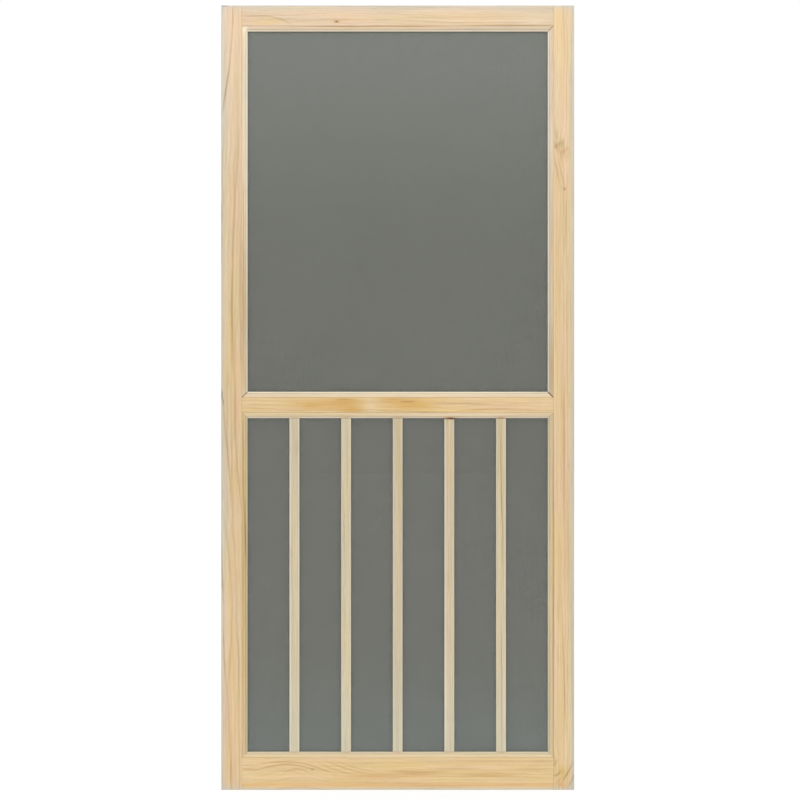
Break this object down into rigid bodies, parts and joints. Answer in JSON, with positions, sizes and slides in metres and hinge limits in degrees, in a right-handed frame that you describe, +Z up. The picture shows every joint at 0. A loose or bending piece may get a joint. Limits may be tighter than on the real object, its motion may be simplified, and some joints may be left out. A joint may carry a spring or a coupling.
{
  "type": "wooden screen door leaf",
  "caption": "Pine screen door leaf: mortised stiles and rails, a tall upper screen and a lower screen behind upright bars, both edged with mitred beaded mouldings.",
  "frame": {"origin": "on the hinge edge, at half the thickness, at the foot of the leaf", "axes": "+X across the leaf from the hinge edge to the latch edge, +Y from the front face to the back, +Z up"},
  "size_m": [0.9144, 0.0254, 2.032],
  "materials": {
    "frame_wood": "matte",
    "moulding_wood": "matte",
    "bar_wood": "matte",
    "screen_cloth": "matte"
  },
  "bodies": {
    "root": {"left_stile": "frame_wood", "right_stile": "frame_wood", "top_rail": "frame_wood", "mid_rail": "frame_wood", "bottom_rail": "frame_wood", "upper_screen": "screen_cloth", "lower_screen": "screen_cloth", "upper_moulding_top": "moulding_wood", "upper_moulding_bottom": "moulding_wood", "upper_moulding_left": "moulding_wood", "upper_moulding_right": "moulding_wood", "lower_moulding_top": "moulding_wood", "lower_moulding_bottom": "moulding_wood", "lower_moulding_left": "moulding_wood", "lower_moulding_right": "moulding_wood", "bar_1": "bar_wood", "bar_2": "bar_wood", "bar_3": "bar_wood", "bar_4": "bar_wood", "bar_5": "bar_wood"}
  },
  "joints": []
}
